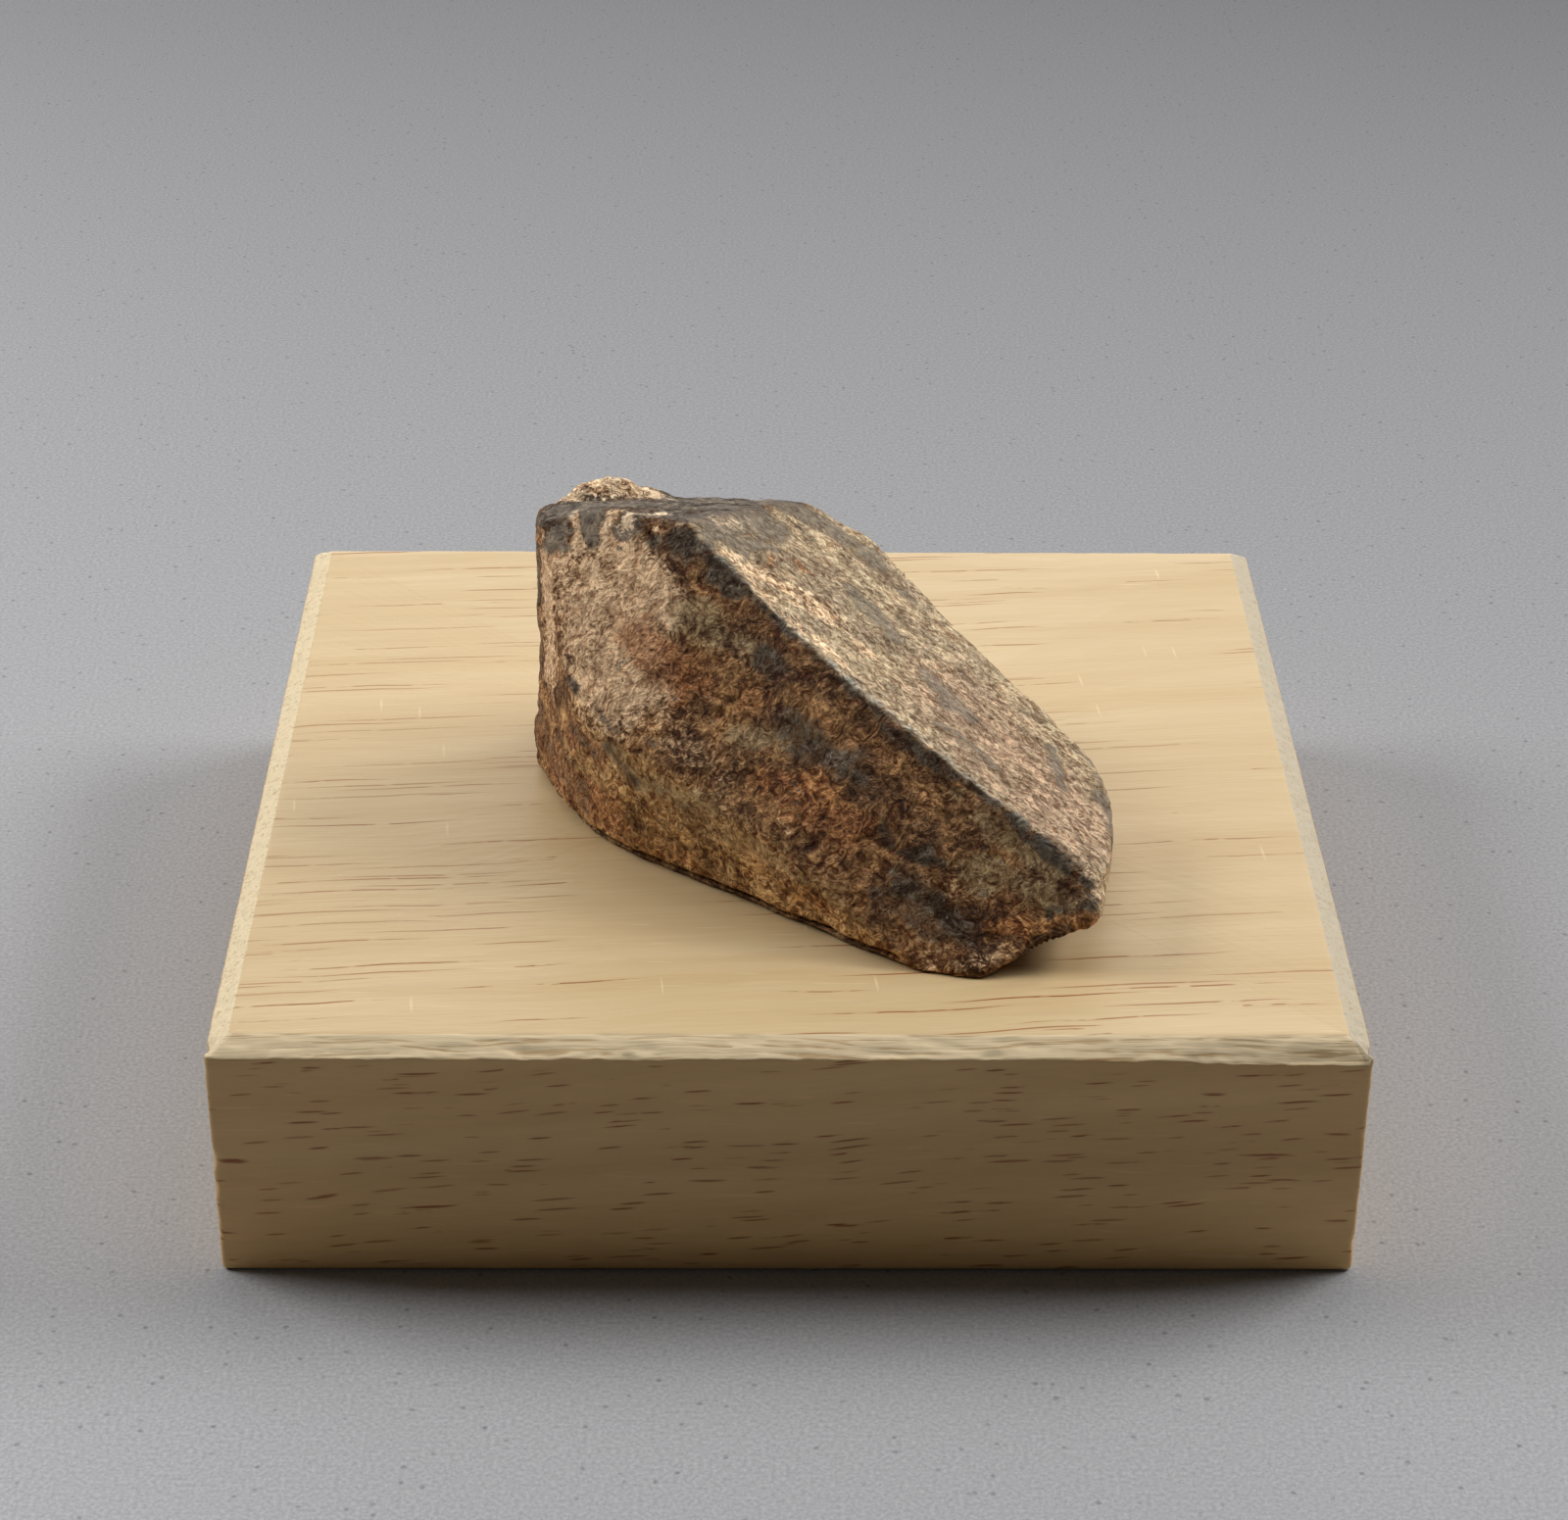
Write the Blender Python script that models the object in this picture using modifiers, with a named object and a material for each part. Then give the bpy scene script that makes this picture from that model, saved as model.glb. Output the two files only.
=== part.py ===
"""A mineral crystal resting on its square wooden display block.

Metres, +Z up. The origin is the middle of the block's underside and the viewer
stands on the -Y side. The crystal is a cube cut flat along one plane for each of its
faces, remeshed evenly, roughened with seeded noise and its few larger scars, and
thinned out where it stays flat.
"""

import math

import bmesh
import bpy
from mathutils import Vector, noise

MM = 0.001

# Display block
BLOCK_SIDE = 80.0
BLOCK_HEIGHT = 18.8
CHAMFER_ACROSS = 1.6
CHAMFER_DOWN = 0.95
FOOT_INSET = 0.2
BLOCK_CORNER_RADIUS = 0.35

# Crystal
RESTING_GAP = 0.3
UNDERSIDE = BLOCK_HEIGHT + RESTING_GAP
ROUGH_CUBE_SIDE = 90.0
REMESH_SIZE = 0.45
KEPT_TRIANGLES = 9000
LARGE_SWELL = 0.22
LARGE_SWELL_WIDTH = 9.0
LUMP_HEIGHT = 0.20
LUMP_WIDTH = 2.6
GRAIN_HEIGHT = 0.07
GRAIN_WIDTH = 1.3
NOISE_ORIGIN = Vector((17.3, 4.1, 9.7))

# One row for each flat face: its name, a point on it in millimetres, the compass
# direction that it faces (degrees from +X towards +Y) and its lean above the horizon.
CRYSTAL_FACES = (
    ("front, upper", (-4.8, -15.4, 31.8), -112.9, 40.7),
    ("front, lower", (11.9, -26.5, 24.2), -97.5, 39.1),
    ("front, left", (-13.1, -6.7, 35.7), -131.3, 39.2),
    ("pale side", (11.9, -10.6, 31.2), -8.2, 62.2),
    ("top", (-8.2, 3.0, 39.5), 81.6, 74.1),
    ("top, left", (-16.8, 2.2, 39.4), 176.0, 69.0),
    ("top, far side", (-5.2, 9.1, 36.5), 88.6, 48.0),
    ("foot, front", (-3.5, -21.1, 23.0), -128.9, -5.7),
    ("foot, left", (-13.6, -12.6, 24.5), -141.3, -3.5),
    ("foot, far left", (-16.5, -7.9, 25.8), -155.0, 1.2),
    ("foot, left undercut", (-17.8, -4.5, 19.3), -159.4, -32.8),
    ("left end", (-18.6, 2.9, 26.9), 174.3, -0.8),
    ("left edge", (-18.0, -1.3, 30.0), -163.6, 3.5),
    ("right end", (23.3, -18.0, 23.3), -4.0, 0.0),
    ("right end, front", (22.7, -24.6, 23.4), -18.0, -6.0),
    ("right shoulder", (23.2, -10.9, 22.7), 9.8, 17.6),
    ("right undercut", (21.2, -18.1, 20.8), -19.3, -59.7),
    ("shoulder", (3.4, 7.6, 36.4), 45.1, 50.8),
    ("back, right", (13.4, 1.3, 29.0), 27.1, 33.9),
    ("back, right foot", (17.2, 0.2, 21.6), 40.1, -2.9),
    ("back", (1.8, 11.3, 28.1), 75.3, 11.5),
    ("back, left", (-14.0, 8.6, 31.2), 126.9, 5.7),
    ("underside", (0.0, 0.0, UNDERSIDE), 0.0, -90.0),
)

# Larger scars and lumps: name, middle in millimetres, half sizes along X, Y and Z,
# and how far the surface moves out there.
CRYSTAL_SCARS = (
    ("crust lump", (-13.9, 6.3, 39.4), (2.8, 2.4, 2.6), 1.45),
    ("crust lump, tail", (-10.8, 6.8, 39.0), (3.2, 2.2, 2.2), 0.75),
    ("chip beside the peak", (-10.6, -6.2, 40.4), (1.7, 1.3, 1.1), -0.55),
    ("scar above the foot", (-14.2, -9.6, 29.6), (1.3, 1.5, 1.6), -0.45),
    ("notch under the tip", (17.4, -28.9, 20.3), (1.8, 2.6, 1.5), -1.1),
    ("lip at the right end", (21.9, -28.4, 21.6), (3.0, 2.6, 1.7), 1.1),
    ("tip", (12.4, -30.9, 19.9), (3.0, 1.6, 1.5), 0.45),
    ("bulge at the left foot", (-18.9, -1.2, 22.2), (1.2, 2.4, 1.8), 0.35),
    ("dip in the left edge", (-18.7, 0.5, 28.5), (1.2, 2.6, 2.6), -0.25),
    ("back hollow", (5.0, 11.0, 27.0), (5.0, 2.5, 3.5), -0.60),
    ("back ledge", (-3.0, 12.5, 31.5), (5.5, 2.0, 1.4), 0.50),
)


def clear_scene():
    for obj in list(bpy.data.objects):
        bpy.data.objects.remove(obj, do_unlink=True)


def new_collection(name):
    collection = bpy.data.collections.new(name)
    bpy.context.scene.collection.children.link(collection)
    return collection


def make_material(name, colour, roughness):
    material = bpy.data.materials.new(name)
    material.use_nodes = True
    shader = material.node_tree.nodes["Principled BSDF"]
    shader.inputs["Base Color"].default_value = (*colour, 1.0)
    shader.inputs["Roughness"].default_value = roughness
    return material


def object_from(bm, name, collection, material):
    mesh = bpy.data.meshes.new(name)
    bm.to_mesh(mesh)
    bm.free()
    mesh.materials.append(material)
    obj = bpy.data.objects.new(name, mesh)
    collection.objects.link(obj)
    return obj


def facing(compass, lean):
    """The unit vector for a compass direction and a lean above the horizon, in degrees."""
    compass = math.radians(compass)
    lean = math.radians(lean)
    level = math.cos(lean)
    return Vector((level * math.cos(compass), level * math.sin(compass), math.sin(lean)))


def cut_flat(bm, point, outward):
    """Cuts away what lies outside a plane and closes the cut with one flat face."""
    everything = bm.verts[:] + bm.edges[:] + bm.faces[:]
    cut = bmesh.ops.bisect_plane(
        bm, geom=everything, dist=1e-7, plane_co=point, plane_no=outward, clear_outer=True
    )
    rim = [part for part in cut["geom_cut"] if isinstance(part, bmesh.types.BMEdge)]
    if rim:
        bmesh.ops.contextual_create(bm, geom=rim)


def make_block(collection, material):
    bm = bmesh.new()
    bmesh.ops.create_cube(bm, size=1.0)
    wall_height = (BLOCK_HEIGHT - CHAMFER_DOWN) * MM
    side = BLOCK_SIDE * MM
    bmesh.ops.scale(bm, vec=(side, side, wall_height), verts=bm.verts)
    bmesh.ops.translate(bm, vec=(0.0, 0.0, wall_height / 2), verts=bm.verts)
    upright = [e for e in bm.edges if abs(e.verts[0].co.z - e.verts[1].co.z) > wall_height / 2]
    bmesh.ops.bevel(
        bm, geom=upright, offset=BLOCK_CORNER_RADIUS * MM, segments=3, profile=0.5, affect="EDGES"
    )
    top = max(bm.faces, key=lambda face: face.calc_center_median().z)
    raised = bmesh.ops.extrude_discrete_faces(bm, faces=[top])["faces"][0]
    shrink = 1.0 - 2 * CHAMFER_ACROSS / BLOCK_SIDE
    bmesh.ops.scale(bm, vec=(shrink, shrink, 1.0), verts=raised.verts)
    bmesh.ops.translate(bm, vec=(0.0, 0.0, CHAMFER_DOWN * MM), verts=raised.verts)
    foot = [vert for vert in bm.verts if vert.co.z < wall_height / 2]
    foot_shrink = 1.0 - 2 * FOOT_INSET / BLOCK_SIDE
    bmesh.ops.scale(bm, vec=(foot_shrink, foot_shrink, 1.0), verts=foot)
    bmesh.ops.recalc_face_normals(bm, faces=bm.faces)
    return object_from(bm, "display_block", collection, material)


def cut_crystal():
    """The crystal as one closed solid with flat faces and sharp edges."""
    bm = bmesh.new()
    bmesh.ops.create_cube(bm, size=ROUGH_CUBE_SIDE * MM)
    for _, point, compass, lean in CRYSTAL_FACES:
        cut_flat(bm, Vector(point) * MM, facing(compass, lean))
    bmesh.ops.remove_doubles(bm, verts=bm.verts, dist=0.02 * MM)
    bmesh.ops.recalc_face_normals(bm, faces=bm.faces)
    return bm


def apply_modifier(obj, modifier):
    """Replaces the object's mesh with what its one modifier makes of it."""
    graph = bpy.context.evaluated_depsgraph_get()
    mesh = bpy.data.meshes.new_from_object(obj.evaluated_get(graph))
    obj.modifiers.remove(modifier)
    obj.data = mesh


def remesh_evenly(obj):
    remesh = obj.modifiers.new("Even quads", "REMESH")
    remesh.mode = "VOXEL"
    remesh.voxel_size = REMESH_SIZE * MM
    apply_modifier(obj, remesh)


def thin_out(obj):
    """Merges triangles where the surface stays flat and keeps them at ridges and lumps."""
    triangles = sum(len(face.vertices) - 2 for face in obj.data.polygons)
    decimate = obj.modifiers.new("Fewer triangles", "DECIMATE")
    decimate.ratio = KEPT_TRIANGLES / triangles
    apply_modifier(obj, decimate)


def scar_offset(place):
    """How far the scars move the surface at a place, in millimetres."""
    total = 0.0
    for _, middle, half_sizes, height in CRYSTAL_SCARS:
        offsets = [(place[axis] - middle[axis]) / half_sizes[axis] for axis in range(3)]
        reach = math.sqrt(sum(offset * offset for offset in offsets))
        if reach < 1.0:
            total += height * (1.0 - reach * reach)
    return total


def roughen(obj):
    """Moves each vertex along its normal; the flat underside stays flat."""
    bm = bmesh.new()
    bm.from_mesh(obj.data)
    bmesh.ops.recalc_face_normals(bm, faces=bm.faces)
    bm.normal_update()
    moves = []
    for vert in bm.verts:
        place = vert.co / MM
        if place.z < UNDERSIDE + 0.05:
            continue
        swell = noise.noise(place / LARGE_SWELL_WIDTH + NOISE_ORIGIN) * LARGE_SWELL
        lumps = noise.noise(place / LUMP_WIDTH + NOISE_ORIGIN) * LUMP_HEIGHT
        grain = noise.noise(place / GRAIN_WIDTH - NOISE_ORIGIN) * GRAIN_HEIGHT
        moves.append((vert, vert.normal * (swell + lumps + grain + scar_offset(place)) * MM))
    for vert, move in moves:
        vert.co += move
        vert.co.z = max(vert.co.z, UNDERSIDE * MM)
    bm.to_mesh(obj.data)
    bm.free()


def make_crystal(collection, material):
    crystal = object_from(cut_crystal(), "crystal", collection, material)
    remesh_evenly(crystal)
    roughen(crystal)
    thin_out(crystal)
    return crystal


def main():
    clear_scene()
    specimen = new_collection("bismutotantalite_specimen")
    stone = make_material("brown_stone", (0.21, 0.15, 0.10), 0.85)
    wood = make_material("pale_wood", (0.70, 0.55, 0.33), 0.65)
    make_block(specimen, wood)
    make_crystal(specimen, stone)


main()
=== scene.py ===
"""A bismutotantalite crystal at rest on its wooden display block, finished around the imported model.

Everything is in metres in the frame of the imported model, +Z up, seen from the -Y side. The lists
of places below are in millimetres, and MM turns them to metres where a mesh is made.
"""

import math
from functools import partial

import bpy
import numpy as np
from bpy.props import FloatProperty, FloatVectorProperty, IntProperty, PointerProperty
from bpy.types import Operator, Panel, PropertyGroup
from mathutils import Matrix, Vector


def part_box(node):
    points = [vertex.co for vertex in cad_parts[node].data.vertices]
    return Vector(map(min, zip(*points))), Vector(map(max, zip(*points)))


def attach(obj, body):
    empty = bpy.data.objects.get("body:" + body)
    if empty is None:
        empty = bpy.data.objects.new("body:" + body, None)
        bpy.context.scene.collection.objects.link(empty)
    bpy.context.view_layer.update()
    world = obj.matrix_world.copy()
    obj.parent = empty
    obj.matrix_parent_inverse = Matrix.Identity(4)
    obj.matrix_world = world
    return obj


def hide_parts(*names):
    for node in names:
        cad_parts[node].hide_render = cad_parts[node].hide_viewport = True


bl_info = {
    "name": "Bismutotantalite Specimen",
    "version": (1, 0, 0),
    "blender": (4, 5, 0),
    "location": "View3D > Sidebar > Specimen",
    "description": "A weathered mineral crystal on a square wooden display block, on a photo stage",
    "category": "Add Mesh",
}

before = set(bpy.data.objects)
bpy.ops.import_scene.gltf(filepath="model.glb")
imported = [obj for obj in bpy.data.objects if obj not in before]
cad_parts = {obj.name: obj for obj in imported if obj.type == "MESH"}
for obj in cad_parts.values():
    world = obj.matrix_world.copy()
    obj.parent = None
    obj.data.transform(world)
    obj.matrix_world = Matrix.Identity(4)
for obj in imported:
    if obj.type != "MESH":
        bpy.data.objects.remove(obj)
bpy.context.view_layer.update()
BLOCK_LOW, BLOCK_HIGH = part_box("display_block")
_, CRYSTAL_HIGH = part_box("crystal")

MM = 0.001

# The camera, measured on the photograph: its place in millimetres, its turn, tilt and roll in
# degrees, and its focal length in pixels of the 1600 pixel wide image.
CAMERA_PLACE = (-3.152, -268.008, 164.528)
CAMERA_TURN = 0.656
CAMERA_TILT = 28.44
CAMERA_ROLL = 0.444
FOCAL_PIXELS = 4042.0
IMAGE_WIDTH = 1600
SENSOR_WIDTH = 36.0

# One row for each flat face of the crystal: its name, a point on it, the compass direction that it
# faces (degrees from +X towards +Y), its lean above the horizon, and the kind of surface it has.
CRYSTAL_FACES = (
    ("front, upper", (-4.8, -15.4, 31.8), -112.9, 40.7, "front"),
    ("front, lower", (11.9, -26.5, 24.2), -97.5, 39.1, "front"),
    ("front, left", (-13.1, -6.7, 35.7), -131.3, 39.2, "front"),
    ("pale side", (11.9, -10.6, 31.2), -8.2, 62.2, "side"),
    ("top", (-8.2, 3.0, 39.5), 81.6, 74.1, "top"),
    ("top, left", (-16.8, 2.2, 39.4), 176.0, 69.0, "top"),
    ("top, far side", (-5.2, 9.1, 36.5), 88.6, 48.0, "top"),
    ("foot, front", (-3.5, -21.1, 23.0), -128.9, -5.7, "foot"),
    ("foot, left", (-13.6, -12.6, 24.5), -141.3, -3.5, "foot"),
    ("foot, far left", (-16.65, -8.0, 25.8), -155.0, 1.2, "foot"),
    ("foot, left undercut", (-17.8, -4.5, 19.3), -159.4, -32.8, "foot"),
    ("left end", (-18.8, 2.9, 26.9), 174.3, -0.8, "back"),
    ("left edge", (-18.2, -1.35, 30.0), -163.6, 3.5, "front"),
    ("right end", (23.3, -18.0, 23.3), -4.0, 0.0, "side"),
    ("right end, front", (22.7, -24.6, 23.4), -18.0, -6.0, "side"),
    ("right shoulder", (23.2, -10.9, 22.7), 9.8, 17.6, "side"),
    # The right undercut takes the darker colours of the hidden faces, partly as painted shade under
    # the overhanging right end
    ("right undercut", (21.2, -18.1, 20.3), -19.3, -65.0, "back"),
    ("shoulder", (3.4, 7.6, 36.4), 45.1, 50.8, "side"),
    ("back, right", (13.4, 1.3, 29.0), 27.1, 33.9, "side"),
    ("back, right foot", (17.2, 0.2, 21.6), 40.1, -2.9, "back"),
    ("back", (1.8, 11.3, 28.1), 75.3, 11.5, "back"),
    ("back, left", (-14.0, 8.6, 31.2), 126.9, 5.7, "back"),
    ("underside", (0.0, 0.0, 18.84), 0.0, -90.0, "back"),
)
SURFACE_KINDS = ("front", "side", "top", "foot", "back")

# The crystal's middle, its long way and how far the mesh is stretched that way. Then the powers
# that blend its faces where they meet, softly between the front faces and crisply elsewhere, and
# the power that blends the kinds of surface.
CRYSTAL_MIDDLE = np.array((0.0, -8.0, 28.0))
LONG_WAY = np.array((0.72, -0.62, -0.30))
STRETCH = 1.7
SOFT_EDGE = 34
CRISP_EDGE = 120
KIND_EDGE = 60

# Larger scars and lumps: name, middle, half sizes along X, Y and Z, and how far they stand out.
CRYSTAL_SCARS = (
    ("crust lump", (-14.0, 6.3, 39.5), (3.0, 2.4, 2.6), 1.25),
    ("crust lump, tail", (-11.4, 6.8, 39.0), (3.0, 2.2, 2.2), 0.65),
    ("chip beside the peak", (-10.4, -5.2, 40.6), (1.5, 1.5, 1.1), -0.60),
    ("scar above the foot", (-14.2, -9.6, 29.6), (1.3, 1.5, 1.6), -0.45),
    ("notch under the tip", (18.0, -29.4, 20.2), (1.6, 2.2, 1.3), -0.7),
    ("lip at the right end", (22.3, -27.9, 22.5), (3.0, 2.6, 1.6), 0.65),
    ("tip", (12.4, -30.9, 19.9), (3.0, 1.6, 1.5), 0.45),
    ("bulge at the left foot", (-18.9, -1.2, 22.2), (1.2, 2.4, 1.8), 0.35),
    ("dip in the left edge", (-18.7, 0.5, 28.5), (1.2, 2.6, 2.6), -0.25),
    ("back hollow", (5.0, 11.0, 27.0), (5.0, 2.5, 3.5), -0.60),
    ("back ledge", (-3.0, 12.5, 31.5), (5.5, 2.0, 1.4), 0.50),
)

# The long sharp ridge from the peak to the right end, and the blunt crease above the foot.
RIDGE = (
    (-7.6, -4.9, 41.6), (-2.8, -9.8, 38.8), (2.1, -14.3, 36.0), (5.2, -16.8, 34.1),
    (11.3, -20.7, 30.8), (17.0, -24.7, 27.3), (21.3, -27.6, 24.4),
)
CREASE = (
    (-15.5, -9.9, 30.6), (-9.6, -15.7, 29.4), (-6.3, -19.0, 27.4), (-2.4, -22.3, 25.2),
    (2.3, -25.9, 23.2), (6.6, -28.3, 21.2), (9.7, -29.7, 19.9),
)

# Patches of colour that someone sees from a step away, as brush strokes of each tint: a stroke's
# two ends, its half width and its strength.
STROKES = {
    "buff": (((13.0, -13.0, 30.5), (20.5, -21.0, 27.0), 7.5, 0.85),),
    "tan": (
        ((-14.0, -5.0, 36.0), (-12.0, -11.0, 31.5), 5.2, 1.0),
        ((-12.5, -3.0, 39.0), (-10.0, -8.5, 36.6), 3.5, 1.0),
        ((-9.5, -14.5, 30.8), (-5.0, -18.5, 28.4), 2.2, 0.32),
        ((-15.7, 0.9, 40.0), (-15.6, -1.5, 38.3), 1.3, 1.0),
        ((-12.9, -1.0, 40.7), (-13.2, -2.6, 39.2), 1.1, 1.0),
        ((-18.2, -1.2, 37.6), (-17.6, -3.2, 29.0), 3.0, 0.9),
        ((10.1, -26.3, 24.1), (12.0, -26.9, 23.6), 0.9, 0.45),
        ((10.0, -30.3, 19.6), (14.6, -30.2, 20.4), 1.7, 0.42),
    ),
    "rust": (
        ((-11.2, -9.2, 35.2), (-8.3, -13.0, 33.0), 2.2, 0.95),
        ((-7.4, -12.6, 33.9), (-6.0, -14.0, 32.8), 1.6, 0.7),
        ((1.8, -21.8, 27.9), (4.2, -23.5, 26.4), 2.2, 0.9),
        ((-3.0, -15.5, 32.6), (6.0, -20.5, 30.2), 2.0, 0.4),
        ((-1.6, -20.0, 28.8), (0.4, -21.6, 27.4), 1.6, 0.7),
        ((11.2, -2.0, 32.1), (12.4, -3.2, 31.4), 0.6, 0.9),
        ((12.5, -28.8, 21.8), (16.5, -29.0, 21.3), 1.4, 0.55),
        ((-18.6, -1.5, 22.6), (-17.0, -6.4, 21.5), 1.7, 0.7),
        ((-17.0, -6.4, 22.2), (-12.6, -13.4, 22.0), 2.6, 0.85),
        ((-12.6, -13.4, 21.0), (-6.0, -18.8, 20.8), 1.4, 0.5),
        ((-15.8, -9.2, 27.2), (-13.7, -12.6, 26.4), 1.7, 0.9),
    ),
    "orange": (
        ((0.9, -2.8, 37.4), (1.6, -3.2, 37.1), 0.9, 0.95),
        ((-2.0, -5.6, 38.9), (-1.2, -5.0, 38.7), 0.7, 0.7),
        ((1.6, -20.8, 28.8), (3.2, -21.9, 28.2), 1.2, 0.7),
        ((14.3, -29.1, 21.5), (16.8, -29.1, 21.3), 1.2, 0.8),
        ((17.4, -29.0, 21.8), (21.5, -28.4, 21.9), 1.1, 0.9),
        ((-3.0, -21.5, 23.5), (2.0, -25.5, 21.6), 1.4, 0.45),
        ((-14.8, 4.4, 40.4), (-10.5, 5.0, 40.0), 1.0, 0.7),
    ),
    "olive": (
        ((-7.4, -9.6, 36.8), (-5.2, -11.2, 36.0), 1.9, 0.85),
        ((-3.6, -12.0, 36.0), (-1.4, -13.6, 34.9), 1.3, 0.6),
        ((-3.8, -17.0, 30.4), (2.3, -18.8, 31.2), 1.3, 0.8),
        ((14.9, -24.6, 27.0), (18.3, -26.0, 25.9), 1.5, 1.0),
        ((12.5, -25.9, 25.0), (19.0, -28.0, 23.4), 1.7, 0.8),
        ((-12.7, -14.0, 27.7), (-10.9, -15.5, 25.9), 1.5, 0.9),
        ((-10.0, -16.3, 26.4), (-4.9, -19.8, 26.6), 1.5, 0.8),
        ((-5.5, -19.6, 24.6), (3.6, -26.2, 22.6), 1.3, 0.6),
        ((12.0, -23.0, 28.8), (19.6, -27.2, 24.6), 0.9, 0.9),
    ),
    "dark": (
        ((-15.8, -9.2, 27.2), (-13.7, -12.6, 26.4), 1.5, 0.5),
        ((-18.8, -1.5, 23.0), (-15.0, -10.0, 22.0), 2.4, 0.48),
        ((-10.9, -15.6, 25.6), (-6.5, -18.5, 25.0), 1.6, 0.35),
        ((-13.0, -13.6, 27.4), (-11.0, -15.3, 26.0), 0.9, 0.6),
        ((-8.6, -5.6, 41.0), (-4.2, -9.4, 39.0), 1.5, 1.0),
        ((7.5, -19.4, 32.2), (11.5, -21.8, 30.1), 1.1, 0.75),
        ((-1.8, -13.3, 35.3), (-0.6, -14.2, 34.7), 1.3, 0.7),
        ((-0.5, -17.5, 31.7), (5.0, -20.8, 29.8), 2.3, 0.68),
        ((-8.5, -12.7, 34.0), (-7.6, -13.5, 33.5), 0.7, 0.55),
        ((6.3, -23.9, 26.6), (7.2, -24.3, 26.3), 1.0, 0.8),
        ((8.0, -25.0, 25.3), (10.6, -25.6, 25.2), 0.9, 0.85),
        ((8.0, -26.5, 23.6), (12.1, -28.8, 21.3), 2.2, 0.75),
        ((-15.9, -8.7, 30.3), (-13.5, -12.2, 30.0), 0.7, 0.95),
        ((-13.5, -12.2, 30.0), (-10.0, -15.2, 29.2), 0.5, 0.6),
        ((-18.6, 0.4, 26.6), (-17.9, -2.7, 24.6), 0.5, 0.9),
        ((-10.2, -4.3, 40.2), (-9.6, -4.6, 39.8), 0.8, 0.9),
        ((-0.3, 3.6, 38.5), (2.4, 0.6, 37.1), 0.45, 0.8),
        ((18.0, -28.3, 22.6), (21.6, -27.9, 23.2), 0.6, 0.8),
    ),
    "skin": (
        ((-17.6, 2.6, 39.3), (-17.2, -0.2, 38.4), 1.5, 0.8),
        ((-18.4, 1.3, 36.7), (-18.7, 1.4, 30.0), 0.8, 0.85),
        ((-14.3, 0.4, 40.4), (-14.4, -2.2, 39.2), 1.2, 1.0),
        ((-11.8, -2.7, 40.5), (-8.5, -1.0, 40.8), 1.7, 1.0),
        ((-17.0, 2.0, 39.6), (-3.0, 1.8, 39.4), 1.9, 0.95),
        ((-9.0, 5.0, 38.8), (0.6, 5.4, 38.2), 2.4, 0.95),
        ((-6.8, -3.0, 40.6), (-1.4, 0.4, 39.1), 2.5, 1.0),
        ((-5.7, -5.3, 40.6), (-1.5, -2.9, 38.8), 1.2, 1.0),
        ((2.9, 5.0, 37.0), (7.0, 3.0, 35.0), 1.6, 0.9),
        ((5.2, -3.4, 35.2), (8.1, -7.3, 33.5), 1.5, 0.85),
        ((10.1, -10.8, 32.2), (13.6, -13.9, 30.0), 1.6, 0.85),
        ((11.3, -16.6, 30.9), (15.2, -19.0, 29.0), 1.1, 0.7),
        ((18.9, -12.3, 27.3), (19.8, -17.6, 26.6), 1.1, 0.85),
        ((15.3, -23.6, 28.3), (18.8, -25.8, 26.1), 0.8, 0.8),
        ((7.0, 2.0, 35.0), (17.0, -6.5, 29.6), 1.0, 0.55),
        ((23.0, -12.0, 25.6), (23.4, -21.0, 24.2), 0.8, 0.8),
    ),
    "pale": (
        ((-16.0, 5.6, 40.0), (-10.2, 6.2, 39.9), 2.5, 1.0),
        ((5.0, -10.5, 34.8), (5.8, -11.4, 34.5), 0.9, 1.0),
        ((-3.0, -6.6, 39.6), (3.6, -8.6, 36.2), 2.0, 0.75),
        ((-5.2, -2.4, 40.4), (-3.0, -1.4, 39.9), 1.2, 0.45),
        ((-11.6, -2.4, 40.5), (-9.0, -1.2, 40.7), 1.2, 0.6),
        ((-15.7, 0.9, 40.0), (-15.6, -1.5, 38.3), 1.0, 0.5),
        ((-12.9, -1.0, 40.7), (-13.2, -2.6, 39.2), 0.9, 0.5),
        ((-4.5, -6.9, 40.1), (4.0, -14.6, 35.3), 0.9, 0.7),
        ((0.3, -22.7, 26.1), (0.5, -22.9, 26.0), 0.45, 0.9),
        ((21.0, -27.2, 24.9), (21.9, -27.6, 23.6), 0.6, 0.9),
        ((-9.8, -3.9, 40.8), (-7.7, -4.8, 41.5), 0.35, 0.8),
    ),
}


def linear(code):
    """A colour's sRGB hex code as three linear values, by the sRGB curve."""
    parts = [int(code[place : place + 2], 16) / 255 for place in (1, 3, 5)]
    return tuple(c / 12.92 if c <= 0.04045 else ((c + 0.055) / 1.055) ** 2.4 for c in parts)


def rgba(colour):
    """A colour's first three values and full opacity after them."""
    return (*tuple(colour)[:3], 1.0)


# Numbers worked out over whole arrays of places


def hashed(cells, seed):
    """A repeatable number from 0 to 1 for each whole-number cell: its three indices times large
    primes, added up and mixed by shifts and products."""
    mixed = (cells.astype(np.int64) * (73856093, 19349663, 83492791)).sum(-1) + seed * 97531
    mixed = ((mixed ^ (mixed >> 15)) * 2246822519) & 0xFFFFFFFF
    mixed = ((mixed ^ (mixed >> 13)) * 3266489917) & 0xFFFFFFFF
    return (mixed ^ (mixed >> 16)) / 0xFFFFFFFF


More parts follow.
